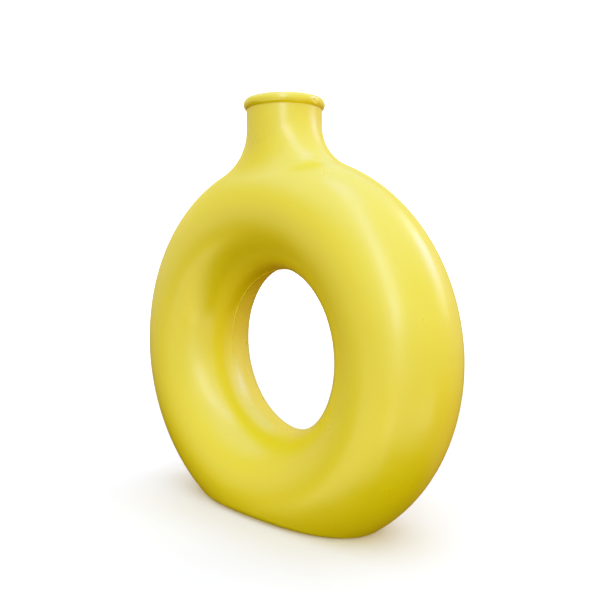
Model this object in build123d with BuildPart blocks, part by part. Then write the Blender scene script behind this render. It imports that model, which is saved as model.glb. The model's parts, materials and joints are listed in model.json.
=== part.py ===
"""Donut vase: a hollow ring of two bonded half shells, with a flared neck and a beaded mouth ring.

Millimetres, +Z up. The ring stands in the XZ plane, its hole runs along Y and its front faces -Y.
The origin is the centre of the flat base that the vase stands on.
"""

import os
from math import sqrt

from build123d import *

# Ring: a round tube bent into a circle and cut flat underneath
ring_outer_diameter = 170.0
tube_diameter = 49.3
base_cut = 14.5
foot_radius = 5.2
wall = 2.4

# Neck: a short tube on the crown of the ring, with a wide flare at its root
neck_diameter = 32.7
neck_straight = 4.4
flare_radius = 25.5

# Mouth ring: a bead that caps the neck and collars both half shells
bead_height = 4.4
bead_overhang = 1.25
bead_cap = 2.0
mouth_inturn = 0.3
mouth_rounding = 0.8
collar_clearance = 0.05

# Seam: a shiplap along the middle of the wall, filled from outside by a bond line
bond_thickness = 0.4
lap_depth = 3.0
lap_clearance = 0.1
hole_ridge = 0.25

# Base: a shallow recess, so that the vase stands on a rim
recess_depth = 0.6
recess_rim = 4.0

# Shop values
overrun = 5.0
least_radius = 0.5

# Sizes that follow from the ones above
tube_radius = tube_diameter / 2
ring_outer_radius = ring_outer_diameter / 2
ring_radius = ring_outer_radius - tube_radius
ring_center_height = ring_outer_radius - base_cut
ring_center = (0, 0, ring_center_height)
crown_height = ring_center_height + ring_radius
neck_radius = neck_diameter / 2
flare_top = ring_center_height + sqrt(
    (ring_outer_radius + flare_radius) ** 2 - (neck_radius + flare_radius) ** 2
)
neck_top = flare_top + neck_straight
overall_height = neck_top + bead_cap
mid_wall = wall / 2
flat_half_length = sqrt((ring_outer_radius - foot_radius) ** 2 - (ring_center_height - foot_radius) ** 2)
flat_half_depth = sqrt((tube_radius - foot_radius) ** 2 - (tube_radius - base_cut - foot_radius) ** 2)


def vessel(inset, top):
    """The vase's outside moved inwards by inset, as one solid with its neck cut square at height top."""
    with BuildPart() as body:
        with BuildSketch(Plane.XY.offset(ring_center_height)):
            with Locations((ring_radius, 0)):
                Circle(tube_radius - inset)
        revolve(axis=Axis(ring_center, (0, 1, 0)))
        with BuildSketch(Plane.XY.offset(crown_height)):
            Circle(neck_radius - inset)
        extrude(amount=top + overrun - crown_height)
        fillet(body.edges().filter_by(GeomType.BSPLINE), flare_radius + inset)
        split(bisect_by=Plane.XY.offset(top), keep=Keep.BOTTOM)
        split(bisect_by=Plane.XY.offset(inset), keep=Keep.TOP)
        foot_edges = body.faces().sort_by(Axis.Z)[0].edges()
        fillet(foot_edges, max(foot_radius - inset, least_radius))
    return body.part


def behind(depth):
    """The upright plane at Y = depth, facing the back of the vase."""
    return Plane(origin=(0, depth, 0), x_dir=(-1, 0, 0), z_dir=(0, 1, 0))


outside = vessel(0, neck_top)
cavity = vessel(wall, neck_top + overrun)
lap_face = vessel(mid_wall, neck_top + overrun)
rebate_face = vessel(mid_wall - lap_clearance, neck_top + overrun)

# The recess under the base, cut from everything that crosses it
with BuildPart() as recess:
    with BuildSketch(Plane.XY):
        Ellipse(flat_half_length - recess_rim, flat_half_depth - recess_rim)
    extrude(amount=recess_depth)

# What lies outside the middle of the wall, behind the front shell's outer edge
with BuildPart() as lap_relief:
    with BuildSketch(behind(-bond_thickness / 2)):
        with Locations((0, overall_height / 2)):
            Rectangle(ring_outer_diameter + overrun, overall_height + 2 * overrun)
    extrude(amount=lap_depth + bond_thickness / 2 + overrun)
    add(lap_face, mode=Mode.SUBTRACT)

# Front half, whose inner half-wall runs on past the seam as a tongue
with BuildPart() as front_shell:
    add(outside)
    add(cavity, mode=Mode.SUBTRACT)
    split(bisect_by=behind(lap_depth), keep=Keep.BOTTOM)
    add(lap_relief.part, mode=Mode.SUBTRACT)
    add(recess.part, mode=Mode.SUBTRACT)
front_shell.part.label = "front_shell"

# Space that the tongue takes in the back half, with its clearance
with BuildPart() as lap_rebate:
    add(rebate_face)
    split(bisect_by=behind(lap_depth + lap_clearance), keep=Keep.BOTTOM)

# Back half, rebated inside to take the tongue
with BuildPart() as back_shell:
    add(outside)
    add(cavity, mode=Mode.SUBTRACT)
    split(bisect_by=behind(bond_thickness / 2), keep=Keep.TOP)
    add(lap_rebate.part, mode=Mode.SUBTRACT)
    add(recess.part, mode=Mode.SUBTRACT)
back_shell.part.label = "back_shell"

# Bond line along the outer edge, from one side of the mouth round the base to the other, sanded flush
with BuildPart() as outer_seam:
    add(outside)
    add(lap_face, mode=Mode.SUBTRACT)
    split(bisect_by=behind(-bond_thickness / 2), keep=Keep.TOP)
    split(bisect_by=behind(bond_thickness / 2), keep=Keep.BOTTOM)
    with BuildSketch(Plane.XZ.offset(-overrun)):
        with Locations((0, ring_center_height)):
            Circle(ring_radius)
    extrude(amount=2 * overrun, mode=Mode.SUBTRACT)
    add(recess.part, mode=Mode.SUBTRACT)
outer_seam.part.label = "outer_seam"

# Bond line round the hole, left standing a little proud as a fine ridge
with BuildPart() as hole_seam:
    add(vessel(-hole_ridge, neck_top))
    add(lap_face, mode=Mode.SUBTRACT)
    split(bisect_by=behind(-bond_thickness / 2), keep=Keep.TOP)
    split(bisect_by=behind(bond_thickness / 2), keep=Keep.BOTTOM)
    with BuildSketch(Plane.XZ.offset(-overrun)):
        with Locations((0, ring_center_height)):
            Circle(ring_radius)
    extrude(amount=2 * overrun, mode=Mode.INTERSECT)
hole_seam.part.label = "hole_seam"

# Mouth ring: bead outside, cap over the neck's edge, collar round both halves
collar_radius = neck_radius + collar_clearance
mouth_radius = neck_radius - wall - mouth_inturn
with BuildPart() as mouth_ring:
    with BuildSketch(Plane.XZ):
        with BuildLine():
            bead_foot = (collar_radius, overall_height - bead_height)
            bead_crest = (neck_radius, overall_height)
            SagittaArc(bead_foot, bead_crest, -bead_overhang)
            lip_start = (mouth_radius + mouth_rounding, overall_height)
            Line(bead_crest, lip_start)
            lip_end = (mouth_radius, overall_height - mouth_rounding)
            RadiusArc(lip_start, lip_end, -mouth_rounding)
            Polyline(lip_end, (mouth_radius, neck_top), (collar_radius, neck_top), bead_foot)
        make_face()
    revolve(axis=Axis.Z)
mouth_ring.part.label = "mouth_ring"

os.makedirs("parts", exist_ok=True)
for piece in (front_shell, back_shell, outer_seam, hole_seam, mouth_ring):
    export_step(piece.part, f"parts/{piece.part.label}.step")
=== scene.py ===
"""Studio scene of the donut vase: its finishes, mouth bead, hole seam, floor, light and camera.

Everything is in metres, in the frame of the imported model. Sizes that are easier to read in millimetres are
written in millimetres and multiplied by MM where they are used.
"""

import json
import logging
import math
from dataclasses import dataclass
from enum import Enum
from typing import ClassVar

import bpy
from mathutils import Matrix, Vector, noise


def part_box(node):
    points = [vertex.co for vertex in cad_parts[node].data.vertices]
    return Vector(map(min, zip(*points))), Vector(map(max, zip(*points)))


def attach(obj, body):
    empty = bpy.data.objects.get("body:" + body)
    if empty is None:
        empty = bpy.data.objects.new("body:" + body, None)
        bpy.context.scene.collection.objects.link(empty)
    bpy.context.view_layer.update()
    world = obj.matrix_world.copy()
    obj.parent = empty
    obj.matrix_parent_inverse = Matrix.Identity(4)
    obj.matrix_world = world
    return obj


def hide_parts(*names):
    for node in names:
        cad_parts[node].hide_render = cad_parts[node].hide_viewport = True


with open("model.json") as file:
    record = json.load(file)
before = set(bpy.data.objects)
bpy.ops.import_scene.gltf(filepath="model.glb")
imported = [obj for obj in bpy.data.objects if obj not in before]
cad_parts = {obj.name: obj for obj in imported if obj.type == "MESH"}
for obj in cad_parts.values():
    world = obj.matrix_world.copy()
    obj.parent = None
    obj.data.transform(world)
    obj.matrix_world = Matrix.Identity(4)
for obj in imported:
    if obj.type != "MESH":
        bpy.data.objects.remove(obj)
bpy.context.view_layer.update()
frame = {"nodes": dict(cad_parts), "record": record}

LOG = logging.getLogger("donut_vase")
MM = 0.001
BODY = "root"
FRAME_PIXELS = 600
SENSOR_MM = 36.0
MERGE_MM = 0.001
CREASE_DEG = 50.0
X_AXIS = Vector((1, 0, 0))
Y_AXIS = Vector((0, 1, 0))
Z_AXIS = Vector((0, 0, 1))

Colour = tuple[float, float, float]
Point = tuple[float, float]
Span = tuple[float, float]
Piece = bpy.types.Object
Material = bpy.types.Material
Tree = bpy.types.NodeTree
Socket = bpy.types.NodeSocket

DARK: Colour = (0.0, 0.0, 0.0)


class Easing(Enum):
    """How a value passes from one end of a span to the other."""

    STRAIGHT = "LINEAR"
    SOFT = "SMOOTHSTEP"


def remap(tree: Tree, value: Socket, source: Span, target: Span = (0.0, 1.0),
          easing: Easing = Easing.STRAIGHT) -> Socket:
    """Adds a node that carries a value from one span to another.

    Args:
        tree: The node tree.
        value: The value.
        source: The span that it comes in.
        target: The span that it leaves in.
        easing: How it passes from one end to the other.

    Returns:
        The carried value.
    """
    node = tree.nodes.new("ShaderNodeMapRange")
    node.interpolation_type = easing.value
    node.inputs["From Min"].default_value, node.inputs["From Max"].default_value = source
    node.inputs["To Min"].default_value, node.inputs["To Max"].default_value = target
    tree.links.new(value, node.inputs["Value"])
    return node.outputs["Result"]


def calculate(tree: Tree, operation: str, first: Socket, second: Socket | float) -> Socket:
    """Adds a node that works out one number from two.

    Args:
        tree: The node tree.
        operation: The Math node's operation.
        first: The first number.
        second: The second number, as a socket or fixed.

    Returns:
        The result.
    """
    node = tree.nodes.new("ShaderNodeMath")
    node.operation = operation
    tree.links.new(first, node.inputs[0])
    if isinstance(second, float):
        node.inputs[1].default_value = second
    else:
        tree.links.new(second, node.inputs[1])
    return node.outputs["Value"]


class Skin(Enum):
    """How a moulded surface was left, with the height in millimetres of the waves that it kept."""

    MOULDED = 0.35
    TRIMMED = 0.15


@dataclass(frozen=True)
class SatinPlastic:
    """Satin yellow plastic with faint clouding, a slightly wavy skin and a few pin-sized pits darkened with
    painted shade.

    Attributes:
        name: The material's name.
        colour: Linear colour of most of the surface.
        cloud_colour: Linear colour that the clouding drifts towards.
        roughness: Lowest and highest roughness.
        skin: How the surface was left, which sets how wavy it is.
        specular: Strength of the gloss.
        ior: Index of refraction.
        noise_span: The span that most of a noise's values lie in.
        cloud_scale: Clouds per metre.
        cloud_detail: Finer layers in the clouding.
        gloss_scale: Patches of uneven gloss per metre.
        gloss_detail: Finer layers in the uneven gloss.
        wave_scale: Waves of the skin per metre.
        peel_scale: Dimples of the fine peel per metre.
        peel_height_mm: Height of the fine peel.
        relief_detail: Finer layers in the waves and in the peel.
        pit_scale: Cells per metre, of which a few hold a pit.
        pit_size: Radius of a pit, as a share of its cell.
        pit_share: Share of the cells that hold a pit.
        pit_depth_mm: Depth of a pit.
        pit_painted_shade: Brightness of a pit against the clouding, as painted shade in the pit.
    """

    name: str
    colour: Colour
    cloud_colour: Colour
    roughness: Span = (0.27, 0.34)
    skin: Skin = Skin.MOULDED
    specular: float = 1.0
    ior: float = 1.5

    noise_span: Span = (0.3, 0.7)
    cloud_scale: float = 26.0
    cloud_detail: float = 3.0
    gloss_scale: float = 52.0
    gloss_detail: float = 4.0
    wave_scale: float = 30.0
    peel_scale: float = 900.0
    peel_height_mm: float = 0.006
    relief_detail: float = 1.0
    pit_scale: float = 150.0
    pit_size: float = 0.05
    pit_share: float = 0.02
    pit_depth_mm: float = 0.06
    pit_painted_shade: float = 0.70

    def material(self) -> Material:
        """Makes the node material.

        Returns:
            The finished material.
        """
        material = bpy.data.materials.new(self.name)
        material.use_nodes = True
        tree = material.node_tree
        shader = tree.nodes["Principled BSDF"]
        shader.inputs["IOR"].default_value = self.ior
        shader.inputs["Specular IOR Level"].default_value = self.specular
        place = tree.nodes.new("ShaderNodeTexCoord").outputs["Object"]
        pits = self._pits(tree, place)
        tree.links.new(self._colour(tree, place, pits), shader.inputs["Base Color"])
        tree.links.new(self._roughness(tree, place), shader.inputs["Roughness"])
        tree.links.new(self._relief(tree, place, pits), shader.inputs["Normal"])
        return material

    def _noise(self, tree: Tree, place: Socket, scale: float, detail: float) -> Socket:
        """Adds a noise texture.

        Args:
            tree: The material's node tree.
            place: The coordinates that the noise is laid out on.
            scale: Lumps per metre.
            detail: How many finer layers are added.

        Returns:
            The noise's value, about 0.5 on average.
        """
        node = tree.nodes.new("ShaderNodeTexNoise")
        node.inputs["Scale"].default_value = scale
        node.inputs["Detail"].default_value = detail
        tree.links.new(place, node.inputs["Vector"])
        return node.outputs["Fac"]

    def _pits(self, tree: Tree, place: Socket) -> Socket:
        """Adds the sparse pin-sized pits.

        Args:
            tree: The material's node tree.
            place: The coordinates that the pits are laid out on.

        Returns:
            A value that is 1 in the middle of a pit and 0 elsewhere.
        """
        cells = tree.nodes.new("ShaderNodeTexVoronoi")
        cells.inputs["Scale"].default_value = self.pit_scale
        tree.links.new(place, cells.inputs["Vector"])
        dot = remap(tree, cells.outputs["Distance"], (self.pit_size, 0.0), easing=Easing.SOFT)
        split = tree.nodes.new("ShaderNodeSeparateColor")
        tree.links.new(cells.outputs["Color"], split.inputs["Color"])
        chosen = calculate(tree, "LESS_THAN", split.outputs["Red"], self.pit_share)
        return calculate(tree, "MULTIPLY", dot, chosen)

    def _colour(self, tree: Tree, place: Socket, pits: Socket) -> Socket:
        """Adds the clouded colour, with painted shade darkening the pits.

        Args:
            tree: The material's node tree.
            place: The coordinates that the clouding is laid out on.
            pits: The pits' value.

        Returns:
            The base colour.
        """
        clouded = tree.nodes.new("ShaderNodeMix")
        clouded.data_type = "RGBA"
        clouded.inputs["A"].default_value = (*self.colour, 1.0)
        clouded.inputs["B"].default_value = (*self.cloud_colour, 1.0)
        clouds = self._noise(tree, place, self.cloud_scale, self.cloud_detail)
        tree.links.new(clouds, clouded.inputs["Factor"])
        # Painted shade: the pits are darkened in colour, standing in for the shade that falls in them.
        painted_pit_shade = tree.nodes.new("ShaderNodeMix")
        painted_pit_shade.data_type = "RGBA"
        painted_pit_shade.inputs["B"].default_value = (*(self.pit_painted_shade * c for c in self.cloud_colour), 1.0)
        tree.links.new(pits, painted_pit_shade.inputs["Factor"])
        tree.links.new(clouded.outputs["Result"], painted_pit_shade.inputs["A"])
        return painted_pit_shade.outputs["Result"]

    def _roughness(self, tree: Tree, place: Socket) -> Socket:
        """Adds the uneven gloss, laid out on the given coordinates, as a roughness."""
        patches = self._noise(tree, place, self.gloss_scale, self.gloss_detail)
        return remap(tree, patches, self.noise_span, self.roughness)

    def _relief(self, tree: Tree, place: Socket, pits: Socket) -> Socket:
        """Adds the wavy skin, the fine peel and the pits, one bump over the other.

        Args:
            tree: The material's node tree.
            place: The coordinates that the relief is laid out on.
            pits: The pits' value.

        Returns:
            The shading normal.
        """
        layers = (
            (self._noise(tree, place, self.wave_scale, self.relief_detail), self.skin.value, False),
            (self._noise(tree, place, self.peel_scale, self.relief_detail), self.peel_height_mm, False),
            (pits, self.pit_depth_mm, True),
        )
        normal = None
        for height, depth_mm, sunk in layers:
            bump = tree.nodes.new("ShaderNodeBump")
            bump.invert = sunk
            bump.inputs["Strength"].default_value = 1.0
            bump.inputs["Distance"].default_value = depth_mm * MM
            tree.links.new(height, bump.inputs["Height"])
            if normal is not None:
                tree.links.new(normal, bump.inputs["Normal"])
            normal = bump.outputs["Normal"]
        return normal


SHELL_FINISH = SatinPlastic("yellow_shell_satin", (0.800, 0.650, 0.0008), (0.780, 0.622, 0.0006))
# The bead's yellow is the shell's yellow painted a little lighter, as painted light on the bead.
RIM_SATIN_PAINTED_LIGHTER = SatinPlastic("yellow_bead_satin_painted_lighter", (0.820, 0.665, 0.0008), (0.800, 0.640, 0.0006),
                          roughness=(0.22, 0.29), skin=Skin.TRIMMED)
# The hole seam's yellow is painted paler than the shell's, as a painted highlight along the ridge.
SEAM_SATIN_PAINTED_HIGHLIGHT = SatinPlastic("yellow_ridge_satin_painted_paler", (0.810, 0.670, 0.012), (0.790, 0.640, 0.006),
                           roughness=(0.24, 0.30), skin=Skin.TRIMMED)


def paint(piece: Piece, material: Material) -> None:
    """Gives a piece one material all over."""
    piece.data.materials.clear()
    piece.data.materials.append(material)


def smooth(piece: Piece) -> None:
    """Shades a piece smooth, apart from its sharp edges.

    Args:
        piece: The object to shade, which is left selected and active.
    """
    bpy.ops.object.select_all(action="DESELECT")
    piece.select_set(True)
    bpy.context.view_layer.objects.active = piece
    bpy.ops.object.shade_smooth_by_angle(angle=math.radians(CREASE_DEG))


def arc(centre: Point, radius: float, start: float, end: float, count: int) -> list[Point]:
    """Points along a circular arc.

    Args:
        centre: The arc's centre.
        radius: Its radius.
        start: Start angle, in radians.
        end: End angle, in radians.
        count: How many points, the ends among them.

    Returns:
        The points, in order.
    """
    turns = [start + (end - start) * i / (count - 1) for i in range(count)]
    return [(centre[0] + radius * math.cos(t), centre[1] + radius * math.sin(t)) for t in turns]


def draw(name: str, points: list[Vector]) -> Piece:
    """Draws a closed outline.

    Args:
        name: The new object's name.
        points: The outline's corners, in order.

    Returns:
        The outline, as the only selected and active object.
    """
    bpy.ops.object.select_all(action="DESELECT")
    bpy.ops.mesh.primitive_circle_add(vertices=len(points), radius=1.0)
    piece = bpy.context.active_object
    piece.name = piece.data.name = name
    for vertex, point in zip(piece.data.vertices, points):
        vertex.co = point
    return piece


def spin(steps: int, centre: Vector, axis: Vector, merge_mm: float) -> None:
    """Turns the active outline all the way round an axis and stays in edit mode, with all selected.

    Args:
        steps: How many steps make the full turn.
        centre: A point on the axis.
        axis: Unit direction of the axis.
        merge_mm: How near corners have to be to become one.
    """
    bpy.ops.object.mode_set(mode="EDIT")
    bpy.ops.mesh.select_all(action="SELECT")
    bpy.ops.mesh.spin(steps=steps, angle=math.tau, center=centre, axis=axis)
    bpy.ops.mesh.select_all(action="SELECT")
    bpy.ops.mesh.remove_doubles(threshold=merge_mm * MM)


def lathe(name: str, section: list[Point], axis: Vector, centre: Vector, steps: int) -> Piece:
    """Turns a closed section round an axis into a ring.

    Args:
        name: The new object's name.
        section: Points of the closed section, each a distance from the axis and a height along it.
        axis: Unit direction of the axis, square to X.
        centre: The point on the axis where heights are zero.
        steps: How many steps make the full turn.

    Returns:
        The ring, with its faces pointing outwards.
    """
    piece = draw(name, [centre + X_AXIS * out + axis * height for out, height in section])
    spin(steps, centre, axis, MERGE_MM)
    bpy.ops.mesh.normals_make_consistent(inside=False)
    bpy.ops.object.mode_set(mode="OBJECT")
    return piece


@dataclass
class HalfShells:
    """The two moulded halves and the flush outer bond line, which keep their CAD form."""

    shells: tuple[str, ...] = ("front_shell", "back_shell")
    bond: str = "outer_seam"

    def dress(self) -> None:
        """Dresses the halves and the bond line alike, so that the outer seam doesn't show."""
        satin = SHELL_FINISH.material()
        for name in (*self.shells, self.bond):
            paint(frame["nodes"][name], satin)
            LOG.info("%s keeps its CAD form, in %s", name, satin.name)


@dataclass(frozen=True)
class FlashMark:
    """A raised lump, or a pit, left on the bead where the halves' flash was trimmed.

    Attributes:
        turn_deg: Its place round the mouth, from +X towards +Y.
        height_mm: Its place up the bead, from the bead's middle.
        spread_mm: Its radius.
        rise_mm: How far it stands up, or down if negative.
    """

    turn_deg: float
    height_mm: float
    spread_mm: float
    rise_mm: float


@dataclass
class MouthRing:
    """The bead at the mouth, with the flash marks where the halves meet under it.

    Attributes:
        node: The CAD node that it replaces.
        neck_diameter_mm: Outside diameter of the neck that it caps.
        cap_mm: Thickness of the cap over the neck's edge.
        rounding_mm: Rounding of the lip into the bore.
        steps: Steps round the mouth.
        bead_points: Points up the bead's outside.
        lip_points: Points over the lip's rounding.
        root_margin_mm: How far out from the neck the bead stays plain.
        ripple_mm: Height of the bead's ripple.
        ripple_per_metre: Ripples per metre.
        marks: The flash marks, on the +X side and on the -X side.
    """

    node: str = "mouth_ring"
    neck_diameter_mm: float = 32.7
    cap_mm: float = 2.0
    rounding_mm: float = 0.8
    steps: int = 432
    bead_points: int = 26
    lip_points: int = 7
    root_margin_mm: float = 0.05
    ripple_mm: float = 0.07
    ripple_per_metre: float = 160.0
    marks: tuple[FlashMark, ...] = (
        FlashMark(0.0, -0.1, 0.50, -0.60),
        FlashMark(-1.5, -1.2, 0.40, 0.22),
        FlashMark(1.5, -1.6, 0.45, 0.28),
        FlashMark(2.5, -0.9, 0.35, -0.22),
        FlashMark(4.5, -1.4, 0.45, 0.24),
        FlashMark(5.0, -2.1, 0.35, -0.28),
        FlashMark(7.0, -1.8, 0.40, 0.20),
        FlashMark(177.0, -0.6, 0.55, 0.25),
        FlashMark(180.5, -1.4, 0.45, 0.24),
        FlashMark(183.0, 0.2, 0.40, -0.35),
    )

    def build(self) -> Piece:
        """Turns the ring and works its ripple and flash marks into the mesh.

        Returns:
            The ring, not yet dressed.
        """
        piece = lathe("mouth_ring_bead", self._section(), Z_AXIS, Vector(), self.steps)
        low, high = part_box(self.node)
        middle = (low[2] + high[2]) / 2
        root = (self.neck_diameter_mm / 2 + self.root_margin_mm) * MM
        normals = [vertex.normal.copy() for vertex in piece.data.vertices]
        for vertex, normal in zip(piece.data.vertices, normals):
            if math.hypot(vertex.co.x, vertex.co.y) >= root:
                vertex.co += normal * self._rise(vertex.co, middle)
        smooth(piece)
        return piece

    def dress(self, piece: Piece) -> None:
        """Gives the ring its finish, painted a little lighter than the shell's as painted light, and puts it
        in its CAD node's place.

        Args:
            piece: The ring.
        """
        paint(piece, RIM_SATIN_PAINTED_LIGHTER.material())
        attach(piece, BODY)
        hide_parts(self.node)

    def _section(self) -> list[Point]:
        """The ring's section, from the foot of the bead over the lip to the neck's edge.

        Returns:
            Distances from the mouth's axis and heights above the base, in metres.
        """
        low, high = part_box(self.node)
        neck = self.neck_diameter_mm / 2 * MM
        bore = next(m for m in frame["record"]["mounts"] if m["name"] == "mouth")["dims"]["r_mm"] * MM
        foot, top = low[2], high[2]
        half_height = (top - foot) / 2
        overhang = high[0] - neck
        radius = (half_height ** 2 + overhang ** 2) / (2 * overhang)
        reach = math.asin(half_height / radius)
        bead = arc((neck + overhang - radius, foot + half_height), radius, -reach, reach, self.bead_points)
        rounding = self.rounding_mm * MM
        lip = arc((bore + rounding, top - rounding), rounding, math.pi / 2, math.pi, self.lip_points)
        edge = top - self.cap_mm * MM
        return [*bead, *lip, (bore, edge), (neck, edge)]

    def _rise(self, place: Vector, middle: float) -> float:
        """How far the ripple and the flash marks lift the bead.

        Args:
            place: A point on the plain bead.
            middle: Height of the bead's middle.

        Returns:
            The rise, in metres.
        """
        rise_mm = self.ripple_mm * noise.noise(place * self.ripple_per_metre)
        out, turn = math.hypot(place.x, place.y), math.atan2(place.y, place.x)
        for mark in self.marks:
            along = math.remainder(turn - math.radians(mark.turn_deg), math.tau) * out
            up = place.z - middle - mark.height_mm * MM
            rise_mm += mark.rise_mm * math.exp(-(along ** 2 + up ** 2) / (mark.spread_mm * MM) ** 2)
        return rise_mm * MM


@dataclass
class HoleSeam:
    """The fine ridge of bond round the hole's wall, rubbed down in the hole's lower part.

    Attributes:
        node: The CAD node that it replaces.
        steps: Steps round the hole.
        depth_mm: How deep the bond lies in the wall.
        shoulder_mm: How far below the wall's face the bond's flat begins.
        half_width_mm: Half the ridge's width.
        crest_points: Points over the ridge.
        least_rise_mm: The ridge's height where it is lowest.
        most_rise_mm: The ridge's height where it is highest.
        rubbed_rise: Share of its height that is left where it is rubbed down.
        rubbed_from: Heights below which it is rubbed down and above which it is whole, as shares of the
            hole's radius above its middle.
        ripple_per_metre: Changes in height per metre.
    """

    node: str = "hole_seam"
    steps: int = 360
    depth_mm: float = 1.2
    shoulder_mm: float = 0.1
    half_width_mm: float = 0.34
    crest_points: int = 9
    least_rise_mm: float = 0.10
    most_rise_mm: float = 0.26
    rubbed_rise: float = 0.10
    rubbed_from: Span = (-0.55, 0.15)
    ripple_per_metre: float = 55.0

    def build(self) -> Piece:
        """Turns the ridge and varies its height round the hole.

        Returns:
            The ridge, not yet dressed.
        """
        low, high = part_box(self.node)
        centre = Vector((0.0, 0.0, (low[2] + high[2]) / 2))
        outer = (high[0] - low[0]) / 2
        hole = outer - self.depth_mm * MM
        piece = lathe("hole_seam_ridge", self._section(hole, outer, high[1]), Y_AXIS, centre, self.steps)
        for vertex in piece.data.vertices:
            spoke = Vector((vertex.co.x, 0.0, vertex.co.z)) - centre
            if spoke.length < hole:
                out = spoke.normalized()
                rise = (hole - spoke.length) * self._share(out, hole)
                vertex.co += out * (hole - rise - spoke.length)
        smooth(piece)
        return piece

    def dress(self, piece: Piece) -> None:
        """Gives the ridge its finish, painted paler as a painted highlight along it, and puts it in its CAD
        node's place.

        Args:
            piece: The ridge.
        """
        paint(piece, SEAM_SATIN_PAINTED_HIGHLIGHT.material())
        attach(piece, BODY)
        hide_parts(self.node)

    def _section(self, hole: float, outer: float, half: float) -> list[Point]:
        """The bond's section at its highest, from one side of the ridge to the other and round its back.

        Args:
            hole: Radius of the hole.
            outer: Radius of the bond's back.
            half: Half the bond's width.

        Returns:
            Distances from the hole's axis and places along it, in metres.
        """
        wide, rise = self.half_width_mm * MM, self.most_rise_mm * MM
        turns = [math.pi * (i / (self.crest_points - 1) - 0.5) for i in range(self.crest_points)]
        crest = [(hole - math.cos(t) * rise, wide * math.sin(t)) for t in turns]
        flat = hole + self.shoulder_mm * MM
        return [*crest, (flat, half), (outer, half), (outer, -half), (flat, -half)]

    def _share(self, out: Vector, hole: float) -> float:
        """How much of its full height the ridge has.

        Args:
            out: Unit direction from the hole's middle.
            hole: Radius of the hole.

        Returns:
            The share, from 0 to 1.
        """
        least = self.least_rise_mm / self.most_rise_mm
        wave = 0.5 + 0.5 * noise.noise(out * hole * self.ripple_per_metre)
        worn, whole = self.rubbed_from
        height = min(max((out.z - worn) / (whole - worn), 0.0), 1.0)
        kept = height * height * (3 - 2 * height)
        return (least + (1 - least) * wave) * (self.rubbed_rise + (1 - self.rubbed_rise) * kept)


def bearing(azimuth_deg: float, elevation_deg: float) -> tuple[Vector, Vector, Vector]:
    """Directions at a place round the vase.

    Args:
        azimuth_deg: Bearing of the place, 0 in front of the vase and 90 on the +X side.
        elevation_deg: Height of the place above the horizon.

    Returns:
        The unit directions from the vase to that place, to the right there, and up there.
    """
    az, el = math.radians(azimuth_deg), math.radians(elevation_deg)
    back = Vector((math.sin(az) * math.cos(el), -math.cos(az) * math.cos(el), math.sin(el)))
    right = Vector((math.cos(az), math.sin(az), 0.0))
    return back, right, back.cross(right)


def placed(position: Vector, right: Vector, up: Vector, back: Vector) -> Matrix:
    """A placement whose X, Y and Z axes are the given directions.

    Args:
        position: Where it stands.
        right: Direction of its X axis.
        up: Direction of its Y axis.
        back: Direction of its Z axis, away from what it faces.

    Returns:
        The 4 by 4 matrix.
    """
    turn = Matrix((right, up, back)).transposed().to_4x4()
    return Matrix.Translation(position) @ turn


class Shine(Enum):
    """Which part of the shading a studio light takes part in."""

    ALL = "the matt shading and the gloss"
    GLOSS = "only the streaks in the gloss"
    MATT = "only the matt shading"


@dataclass(frozen=True)
class SoftBox:
    """A rectangular studio light that faces the vase.

    Attributes:
        name: The light's name.
        azimuth_deg: Its bearing, 0 in front of the vase and 90 on the +X side.
        elevation_deg: Its height above the horizon.
        distance: How far it stands from the middle of the ring.
        width: Its size along the horizon.
        height: Its size along the vertical circle that it stands on.
        radiance: How bright its face is in red, green and blue.
        lean_deg: How far its upper end leans towards a larger bearing.
        shine: Which part of the shading it takes part in.
    """

    name: str
    azimuth_deg: float
    elevation_deg: float
    distance: float
    width: float
    height: float
    radiance: Colour
    lean_deg: float = 0.0
    shine: Shine = Shine.ALL

    def build(self, target: Vector) -> None:
        """Places the light.

        Args:
            target: The point that it faces.
        """
        data = bpy.data.lights.new(self.name, "AREA")
        data.shape = "RECTANGLE"
        data.size, data.size_y = self.width, self.height
        brightest = max(self.radiance)
        data.color = [channel / brightest for channel in self.radiance]
        data.energy = brightest * math.pi * self.width * self.height
        light = bpy.data.objects.new(self.name, data)
        bpy.context.scene.collection.objects.link(light)
        light.visible_camera = False
        light.visible_diffuse = self.shine is not Shine.GLOSS
        light.visible_glossy = self.shine is not Shine.MATT
        back, right, up = bearing(self.azimuth_deg, self.elevation_deg)
        upright = placed(target + back * self.distance, right, up, back)
        light.matrix_world = upright @ Matrix.Rotation(-math.radians(self.lean_deg), 4, "Z")
        LOG.info("light %s placed", self.name)


@dataclass(frozen=True)
class RoomSide:
    """One side of the room, by how bright it is from the floor up.

    Attributes:
        azimuth_deg: Its bearing, 0 in front of the vase and 90 on the +X side.
        floor: Light from the floor nearby.
        far_floor: Light from the floor further off, just under the horizon.
        horizon: Light at the vase's own height.
        wall: Light from the wall above it.
        elevations_deg: Where each of its bands is reached, from the dark underneath to the dark overhead.
    """

    azimuth_deg: float
    floor: Colour
    far_floor: Colour
    horizon: Colour
    wall: Colour
    elevations_deg: ClassVar[tuple[float, ...]] = (-45.0, -38.0, -20.0, -11.0, 0.0, 4.0, 18.0, 30.0, 52.0)

    def bands(self) -> tuple[tuple[float, Colour], ...]:
        """The side's colours, each with the elevation in degrees where it is reached."""
        colours = (DARK, self.floor, self.floor, self.far_floor, self.horizon, self.horizon,
                   self.wall, self.wall, DARK)
        return tuple(zip(self.elevations_deg, colours))


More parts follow.
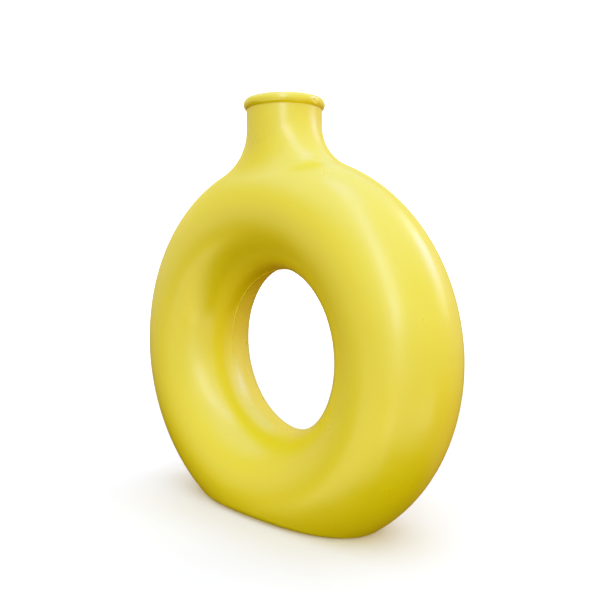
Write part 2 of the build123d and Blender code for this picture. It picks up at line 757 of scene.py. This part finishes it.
@dataclass
class Studio:
    """The floor, the light and the camera round the vase.

    Attributes:
        ring_height_mm: Height of the ring's middle, which the lights face.
        floor_radius: Reach of the flat floor.
        cove_radius: Radius of the curve from the floor to the wall.
        cove_points: Points along that curve.
        wall_height: Height of the wall.
        sweep_steps: Steps round the floor.
        sweep_merge_mm: How near the floor's corners have to be to become one.
        sweep_colour: Colour of the floor's paint.
        sweep_roughness: Roughness of the floor's paint.
        sweep_glow: How much the floor glows under the vase and far off.
        sweep_glow_reach: Distances from the vase between which the glow rises.
        room_sides: The room's four sides.
        side_falloff: How fast a side fades to its left and right.
        overhead: Light from the ceiling.
        overhead_from_deg: Elevations between which the ceiling brightens.
        lights: The studio lights.
        look_height_mm: Height of the point that the camera's place is measured from.
        azimuth_deg: The camera's bearing, 0 in front of the vase and 90 on the +X side.
        elevation_deg: The camera's height above the horizon.
        distance_mm: The camera's distance.
        aim_right_mm: How far to the right of that point the camera looks.
        aim_up_mm: How far above that point the camera looks.
        roll_deg: How far the camera is rolled.
        focal_pixels: The camera's focal length, in pixels of the photograph's frame.
        near_clip: The nearest distance that the camera sees.
    """

    ring_height_mm: float = 70.5
    floor_radius: float = 4.0
    cove_radius: float = 1.5
    cove_points: int = 12
    wall_height: float = 5.0
    sweep_steps: int = 96
    sweep_merge_mm: float = 0.1
    sweep_colour: Colour = (0.93, 0.865, 0.715)
    sweep_roughness: float = 0.9
    sweep_glow: Span = (0.05, 0.80)
    sweep_glow_reach: Span = (0.25, 1.30)
    room_sides: tuple[RoomSide, ...] = (
        RoomSide(-50.0, (0.06, 0.02, 0.03), (0.54, 0.40, 0.33), (0.76, 0.70, 0.74), (1.03, 0.94, 0.72)),
        RoomSide(40.0, (0.02, 0.00, 0.00), (1.12, 1.15, 1.32), (0.68, 0.75, 0.88), (1.46, 1.68, 1.66)),
        RoomSide(130.0, (0.95, 0.48, 0.36), (0.80, 0.66, 0.55), (1.02, 0.90, 0.85), (1.18, 1.21, 1.30)),
        RoomSide(220.0, (0.26, 0.06, 0.00), (0.22, 0.12, 0.05), (0.74, 0.55, 0.30), (1.16, 0.93, 0.45)),
    )
    side_falloff: float = 2.0
    overhead: Colour = (1.03, 1.20, 1.85)
    overhead_from_deg: Span = (28.0, 52.0)
    lights: tuple[SoftBox, ...] = (
        SoftBox("key_upper", 36.0, 66.0, 1.5, 0.45, 1.00, (0.50, 0.70, 0.92)),
        SoftBox("key_lower", 41.0, 28.0, 1.5, 0.50, 1.05, (1.36, 1.57, 1.70)),
        SoftBox("key_core", 39.0, 30.0, 1.4, 0.20, 1.05, (0.40, 0.78, 3.90), shine=Shine.GLOSS),
        SoftBox("key_crest", 37.0, 62.0, 1.4, 0.18, 0.60, (0.20, 0.45, 3.30), shine=Shine.GLOSS),
        SoftBox("key_zenith", 40.0, 88.0, 1.4, 0.45, 0.40, (0.20, 0.40, 3.00), shine=Shine.GLOSS),
        SoftBox("key_foot", 35.0, 0.0, 1.5, 0.60, 0.50, (0.58, 0.61, 0.62)),
        SoftBox("rear_strip", 146.0, 31.0, 1.2, 0.36, 0.95, (1.27, 1.40, 1.70), 40.0),
        SoftBox("rear_core", 146.0, 33.0, 1.2, 0.28, 0.40, (0.30, 0.85, 4.70), 40.0, Shine.GLOSS),
        SoftBox("back_fill", 224.0, 8.0, 1.2, 1.10, 0.90, (1.30, 1.55, 1.60), shine=Shine.MATT),
        SoftBox("floor_bounce_right", 65.0, -30.0, 1.2, 1.70, 0.45, (1.20, 1.15, 1.05)),
        SoftBox("floor_bounce_left", -5.0, -30.0, 1.2, 1.70, 0.45, (0.88, 0.68, 0.10)),
        SoftBox("floor_sheen", -1.0, -32.0, 1.2, 1.40, 0.68, (0.80, 0.86, 1.05), 16.0, Shine.GLOSS),
    )
    look_height_mm: float = 100.94
    azimuth_deg: float = 44.191
    elevation_deg: float = 2.072
    distance_mm: float = 297.757
    aim_right_mm: float = 6.540
    aim_up_mm: float = -8.377
    roll_deg: float = -0.178
    focal_pixels: float = 674.951
    near_clip: float = 0.01

    def build(self) -> None:
        """Builds the sweep, the room's light, the studio lights and the camera."""
        self.sweep()
        self.room()
        for light in self.lights:
            light.build(Vector((0.0, 0.0, self.ring_height_mm * MM)))
        self.camera()
        bpy.context.scene.view_settings.view_transform = "Standard"

    def sweep(self) -> None:
        """Lays the pale floor, which rises into a wall all round and which the vase doesn't mirror."""
        bend = (self.floor_radius, self.cove_radius)
        cove = arc(bend, self.cove_radius, -math.pi / 2, 0.0, self.cove_points)
        profile = [(0.0, 0.0), *cove, (self.floor_radius + self.cove_radius, self.wall_height)]
        sweep = draw("floor_sweep", [Vector((out, 0.0, height)) for out, height in profile])
        self._open(sweep)
        spin(self.sweep_steps, Vector(), Z_AXIS, self.sweep_merge_mm)
        bpy.ops.object.mode_set(mode="OBJECT")
        bpy.ops.object.shade_smooth()
        paint(sweep, self.sweep_finish())
        sweep.visible_diffuse = False
        sweep.visible_glossy = False
        sweep.visible_shadow = False

    def _open(self, outline: Piece) -> None:
        """Deletes the edge that runs from an outline's last corner back to its first.

        Args:
            outline: The outline, as the active object.
        """
        bpy.ops.object.mode_set(mode="EDIT")
        bpy.ops.mesh.select_all(action="DESELECT")
        bpy.ops.object.mode_set(mode="OBJECT")
        ends = {0, len(outline.data.vertices) - 1}
        for edge in outline.data.edges:
            edge.select = set(edge.vertices) == ends
        bpy.ops.object.mode_set(mode="EDIT")
        bpy.ops.mesh.select_mode(type="EDGE")
        bpy.ops.mesh.delete(type="EDGE_FACE")
        bpy.ops.object.mode_set(mode="OBJECT")

    def sweep_finish(self) -> Material:
        """Makes the sweep's matt white paint, which glows a little away from the vase to stay white.

        Returns:
            The finished material.
        """
        material = bpy.data.materials.new("sweep_white")
        material.use_nodes = True
        tree = material.node_tree
        shader = tree.nodes["Principled BSDF"]
        shader.inputs["Base Color"].default_value = (*self.sweep_colour, 1.0)
        shader.inputs["Roughness"].default_value = self.sweep_roughness
        shader.inputs["Emission Color"].default_value = (1.0, 1.0, 1.0, 1.0)
        reach = tree.nodes.new("ShaderNodeVectorMath")
        reach.operation = "LENGTH"
        tree.links.new(tree.nodes.new("ShaderNodeTexCoord").outputs["Object"], reach.inputs[0])
        glow = remap(tree, reach.outputs["Value"], self.sweep_glow_reach, self.sweep_glow, Easing.SOFT)
        tree.links.new(glow, shader.inputs["Emission Strength"])
        return material

    def room(self) -> None:
        """Lights the vase from a pale room, whose four sides differ, under a cool ceiling."""
        world = bpy.data.worlds.new("room")
        bpy.context.scene.world = world
        world.use_nodes = True
        tree = world.node_tree
        direction = tree.nodes.new("ShaderNodeTexCoord").outputs["Generated"]
        split = tree.nodes.new("ShaderNodeSeparateXYZ")
        tree.links.new(direction, split.inputs["Vector"])
        height = remap(tree, split.outputs["Z"], (-1.0, 1.0))
        total = self._bands(tree, height, tuple(zip(self.overhead_from_deg, (DARK, self.overhead))))
        for side in self.room_sides:
            added = tree.nodes.new("ShaderNodeVectorMath")
            added.operation = "MULTIPLY_ADD"
            tree.links.new(self._bands(tree, height, side.bands()), added.inputs[0])
            tree.links.new(self._facing(tree, direction, side), added.inputs[1])
            tree.links.new(total, added.inputs[2])
            total = added.outputs["Vector"]
        tree.links.new(total, tree.nodes["Background"].inputs["Color"])

    def _facing(self, tree: Tree, direction: Socket, side: RoomSide) -> Socket:
        """Adds how much of a side of the room shows in a direction.

        Args:
            tree: The world's node tree.
            direction: The direction.
            side: The side of the room.

        Returns:
            The share, 1 straight towards the side and 0 square to it or beyond.
        """
        facing = tree.nodes.new("ShaderNodeVectorMath")
        facing.operation = "DOT_PRODUCT"
        facing.inputs[1].default_value = bearing(side.azimuth_deg, 0.0)[0]
        tree.links.new(direction, facing.inputs[0])
        ahead = calculate(tree, "MAXIMUM", facing.outputs["Value"], 0.0)
        return calculate(tree, "POWER", ahead, self.side_falloff)

    def _bands(self, tree: Tree, height: Socket, stops: tuple[tuple[float, Colour], ...]) -> Socket:
        """Adds colours that change with the elevation.

        Args:
            tree: The world's node tree.
            height: The elevation's sine, carried to 0 straight down and 1 straight up.
            stops: Elevations in degrees, each with its colour.

        Returns:
            The colour at the elevation.
        """
        ramp = tree.nodes.new("ShaderNodeValToRGB")
        ramp.color_ramp.interpolation = "EASE"
        elements = ramp.color_ramp.elements
        while len(elements) < len(stops):
            elements.new(0.5)
        for element, (elevation_deg, colour) in zip(elements, stops):
            element.position = (1 + math.sin(math.radians(elevation_deg))) / 2
            element.color = (*colour, 1.0)
        tree.links.new(height, ramp.inputs["Fac"])
        return ramp.outputs["Color"]

    def camera(self) -> None:
        """Sets the camera at the photograph's viewing angle."""
        data = bpy.data.cameras.new("camera")
        data.sensor_width = SENSOR_MM
        data.lens = SENSOR_MM * self.focal_pixels / FRAME_PIXELS
        data.clip_start = self.near_clip
        camera = bpy.data.objects.new("camera", data)
        bpy.context.scene.collection.objects.link(camera)
        back, right, up = bearing(self.azimuth_deg, self.elevation_deg)
        middle = Vector((0.0, 0.0, self.look_height_mm * MM))
        position = middle + back * self.distance_mm * MM
        aim = middle + right * self.aim_right_mm * MM + up * self.aim_up_mm * MM
        ahead = (aim - position).normalized()
        level = ahead.cross(Z_AXIS).normalized()
        upright = level.cross(ahead)
        roll = math.radians(self.roll_deg)
        tilted = level * math.cos(roll) + upright * math.sin(roll)
        camera.matrix_world = placed(position, tilted, tilted.cross(ahead), -ahead)
        bpy.context.scene.camera = camera


def main() -> None:
    """Builds the vase's pieces in order, then the studio, and logs each built piece's face count."""
    logging.basicConfig(level=logging.INFO, format="%(name)s: %(message)s")
    HalfShells().dress()
    for part in (MouthRing(), HoleSeam()):
        piece = part.build()
        part.dress(piece)
        LOG.info("%s built, %d faces", piece.name, len(piece.data.polygons))
    Studio().build()


if __name__ == "__main__":
    main()
